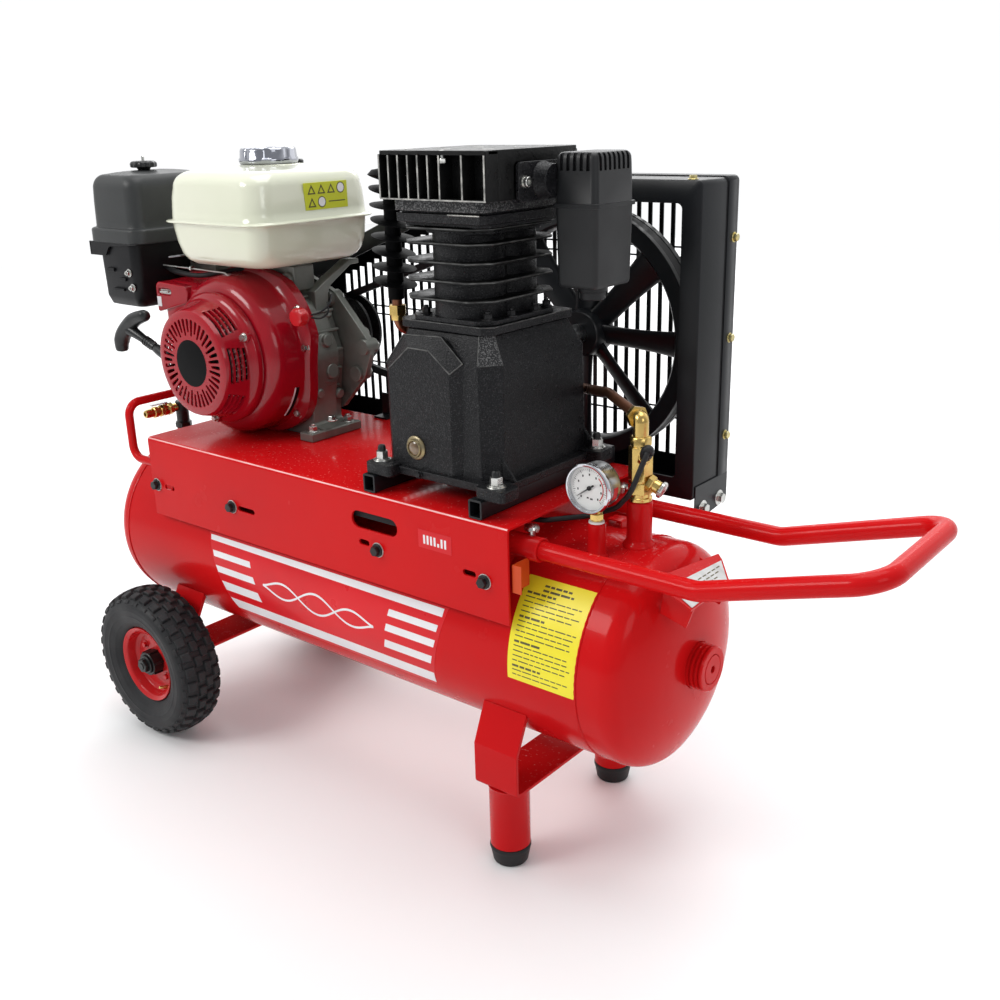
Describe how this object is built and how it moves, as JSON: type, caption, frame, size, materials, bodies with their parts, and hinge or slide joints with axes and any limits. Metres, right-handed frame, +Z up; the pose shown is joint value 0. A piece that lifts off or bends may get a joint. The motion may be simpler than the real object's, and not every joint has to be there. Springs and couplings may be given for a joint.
{
  "type": "portable petrol air compressor",
  "caption": "Portable air compressor: petrol engine driving a two-cylinder pump by guarded V-belt, on a horizontal air tank with wheels, feet and a lifting handle.",
  "frame": {"origin": "middle of the footprint, on the floor", "axes": "+X towards the lifting handle, along the tank; +Z up; -Y towards the recoil starter side"},
  "size_m": [1.4019, 0.4986, 0.961],
  "materials": {
    "tank_paint": "gloss red paint",
    "rim_paint": "gloss red paint",
    "foot_rubber": "matt black rubber",
    "tyre_rubber": "matt black, block tread",
    "hub_plastic": "black",
    "engine_aluminium": "as cast, dull grey",
    "fan_cover_paint": "gloss crimson paint",
    "grip_plastic": "black",
    "shaft_steel": "ground steel",
    "pulley_iron": "painted black",
    "fuel_tank_paint": "gloss cream paint",
    "bright_chrome": "bright plated",
    "air_cleaner_plastic": "satin black",
    "knob_plastic": "red",
    "pump_iron": "coarse cast, painted black",
    "rail_paint": "black paint",
    "copper_pipe": "dull brown copper",
    "belt_rubber": "matt black rubber",
    "guard_paint": "satin black paint",
    "needle_paint": "black",
    "fitting_brass": "machined brass",
    "regulator_body": "black"
  },
  "bodies": {
    "compressor": {"tank_shell": "tank_paint", "tank_end_plug": "tank_paint", "deck_plate": "tank_paint", "saddle_plate": "tank_paint", "handle_mount": "tank_paint", "end_rail": "tank_paint", "leg_frame": "tank_paint", "foot_front": "foot_rubber", "foot_rear": "foot_rubber", "axle_frame": "tank_paint", "engine_crankcase": "engine_aluminium", "engine_side_cover": "engine_aluminium", "engine_cylinder": "engine_aluminium", "fan_cover": "fan_cover_paint", "recoil_cover": "fan_cover_paint", "fuel_tank": "fuel_tank_paint", "air_cleaner_cover": "air_cleaner_plastic", "air_cleaner_base": "air_cleaner_plastic", "carburettor": "engine_aluminium", "muffler": "shaft_steel", "pump_rail_left": "rail_paint", "pump_rail_right": "rail_paint", "pump_crankcase": "pump_iron", "pump_cylinder": "pump_iron", "pump_head": "pump_iron", "intake_pipe": "air_cleaner_plastic", "filter_housing": "air_cleaner_plastic", "aftercooler": "pump_iron", "delivery_pipe": "copper_pipe", "v_belt": "belt_rubber", "guard_tray": "guard_paint", "guard_cover": "guard_paint", "pressure_gauge": "bright_chrome", "check_valve": "fitting_brass", "safety_valve": "fitting_brass", "outlet_regulator": "regulator_body", "ball_valve": "fitting_brass", "unloader_hose": "belt_rubber"},
    "front_wheel": {"tyre_front": "tyre_rubber", "rim_front": "rim_paint", "hub_front": "hub_plastic"},
    "rear_wheel": {"tyre_rear": "tyre_rubber", "rim_rear": "rim_paint", "hub_rear": "hub_plastic"},
    "lifting_handle": {"handle": "tank_paint"},
    "starter_grip": {"recoil_grip": "grip_plastic"},
    "engine_rotor": {"engine_crankshaft": "shaft_steel", "engine_flywheel": "engine_aluminium", "drive_pulley": "pulley_iron"},
    "pump_rotor": {"pump_crankshaft": "shaft_steel", "pump_flywheel": "pulley_iron"},
    "fuel_filler_cap": {"fuel_cap": "bright_chrome"},
    "cleaner_nut": {"air_cleaner_nut": "air_cleaner_plastic"},
    "throttle": {"throttle_lever": "shaft_steel"},
    "choke": {"choke_lever": "bright_chrome"},
    "engine_switch": {"switch_knob": "knob_plastic"},
    "gauge_pointer": {"gauge_needle": "needle_paint"},
    "drain": {"drain_screw": "fitting_brass"},
    "safety_release": {"safety_valve_cap": "bright_chrome"},
    "outlet_lever": {"ball_valve_lever": "bright_chrome"}
  },
  "joints": [
    {"name": "front_wheel_spin", "type": "hinge", "parent": "compressor", "child": "front_wheel", "pos_m": [-0.505, -0.2093, 0.13], "axis": [0, 1, 0], "continuous": true},
    {"name": "rear_wheel_spin", "type": "hinge", "parent": "compressor", "child": "rear_wheel", "pos_m": [-0.505, 0.1939, 0.13], "axis": [0, 1, 0], "continuous": true},
    {"name": "pump_spin", "type": "hinge", "parent": "compressor", "child": "pump_rotor", "pos_m": [0.1, 0.2003, 0.688], "axis": [0, 1, 0], "continuous": true},
    {"name": "engine_spin", "type": "hinge", "parent": "compressor", "child": "engine_rotor", "pos_m": [-0.409, 0.2003, 0.643], "axis": [0, 1, 0], "continuous": true},
    {"name": "handle_slide", "type": "slide", "parent": "compressor", "child": "lifting_handle", "axis": [1, 0, 0], "range_m": [-0.12, 0.06]},
    {"name": "starter_pull", "type": "slide", "parent": "compressor", "child": "starter_grip", "axis": [-0.9397, 0, 0.3419], "range_m": [0, 0.12], "stiffness_N_per_m": 40, "springref_m": -0.01},
    {"name": "fuel_cap_turn", "type": "hinge", "parent": "compressor", "child": "fuel_filler_cap", "pos_m": [-0.38, 0.0203, 0.9263], "axis": [0, 0, 1], "range_deg": [0, 90]},
    {"name": "cleaner_nut_turn", "type": "hinge", "parent": "compressor", "child": "cleaner_nut", "pos_m": [-0.629, -0.0377, 0.9253], "axis": [0, 0, 1], "range_deg": [0, 720]},
    {"name": "throttle_turn", "type": "hinge", "parent": "compressor", "child": "throttle", "pos_m": [-0.539, 0.0426, 0.765], "axis": [0, 1, 0], "range_deg": [-25, 20]},
    {"name": "choke_turn", "type": "hinge", "parent": "compressor", "child": "choke", "pos_m": [-0.5615, 0.0023, 0.7863], "axis": [0, 0, 1], "range_deg": [0, 40]},
    {"name": "switch_turn", "type": "hinge", "parent": "compressor", "child": "engine_switch", "pos_m": [-0.2675, -0.0302, 0.7125], "axis": [0, -1, 0], "range_deg": [0, 50]},
    {"name": "gauge_needle_turn", "type": "hinge", "parent": "compressor", "child": "gauge_pointer", "pos_m": [0.298, -0.083, 0.555], "axis": [0, 1, 0], "range_deg": [0, 260]},
    {"name": "drain_turn", "type": "hinge", "parent": "compressor", "child": "drain", "pos_m": [-0.097, -0.0077, 0.161], "axis": [0, 0, 1], "range_deg": [0, 360]},
    {"name": "safety_pull", "type": "slide", "parent": "compressor", "child": "safety_release", "axis": [0.8924, 0.1239, -0.4338], "range_m": [0, 0.003], "stiffness_N_per_m": 1500, "springref_m": -0.002},
    {"name": "outlet_valve_turn", "type": "hinge", "parent": "compressor", "child": "outlet_lever", "pos_m": [-0.602, -0.0713, 0.5363], "axis": [0, 0, 1], "range_deg": [0, 90]}
  ],
  "couplings": [
    {"joint": "engine_spin", "follows": "pump_spin", "ratio": 3.1964}
  ]
}
